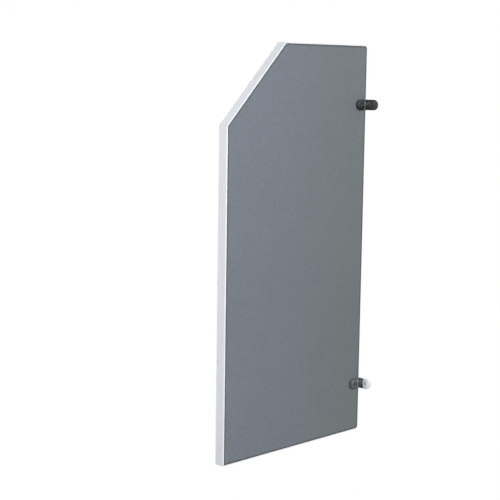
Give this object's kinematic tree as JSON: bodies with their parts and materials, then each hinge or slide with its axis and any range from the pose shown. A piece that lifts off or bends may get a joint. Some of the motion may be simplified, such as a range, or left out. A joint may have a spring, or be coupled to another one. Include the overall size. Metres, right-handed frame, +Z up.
{
  "type": "urinal privacy screen",
  "caption": "Wall-hung urinal privacy screen: grey laminated board with a slanted top front corner, pale edge bands and small angle brackets on one face.",
  "frame": {"origin": "on the wall plane, at the centre of the board's rear edge: mid-thickness and mid-height", "axes": "+Z up along the board's height; +Y into the wall, so the screen stands out towards -Y; +X out of the face that carries the brackets, along the board's thickness"},
  "size_m": [0.061, 0.4958, 0.9],
  "materials": {
    "laminate_grey": "mid-grey decorative laminate with a fine suede texture and a soft, low sheen",
    "edge_band_white": "cool white PVC edge band, satin, with a slight orange peel and scraped long edges",
    "core_board": "raw pressed particle board, matt",
    "bracket_metal": "dark polished and plated metal, smooth with a soft reflection",
    "screw_steel": "dark plated steel, slightly duller than the bracket",
    "plug_nylon": "plain grey moulded nylon"
  },
  "bodies": {
    "root": {"core_board": "core_board", "left_face_sheet": "laminate_grey", "right_face_sheet": "laminate_grey", "front_edge_band": "edge_band_white", "slanted_edge_band": "edge_band_white", "top_edge_band": "edge_band_white", "rear_edge_band": "edge_band_white", "bottom_edge_band": "edge_band_white", "upper_bracket": "bracket_metal", "lower_bracket": "bracket_metal", "upper_panel_screw": "screw_steel", "lower_panel_screw": "screw_steel", "upper_wall_screw": "screw_steel", "lower_wall_screw": "screw_steel", "upper_wall_plug": "plug_nylon", "lower_wall_plug": "plug_nylon"}
  },
  "joints": []
}
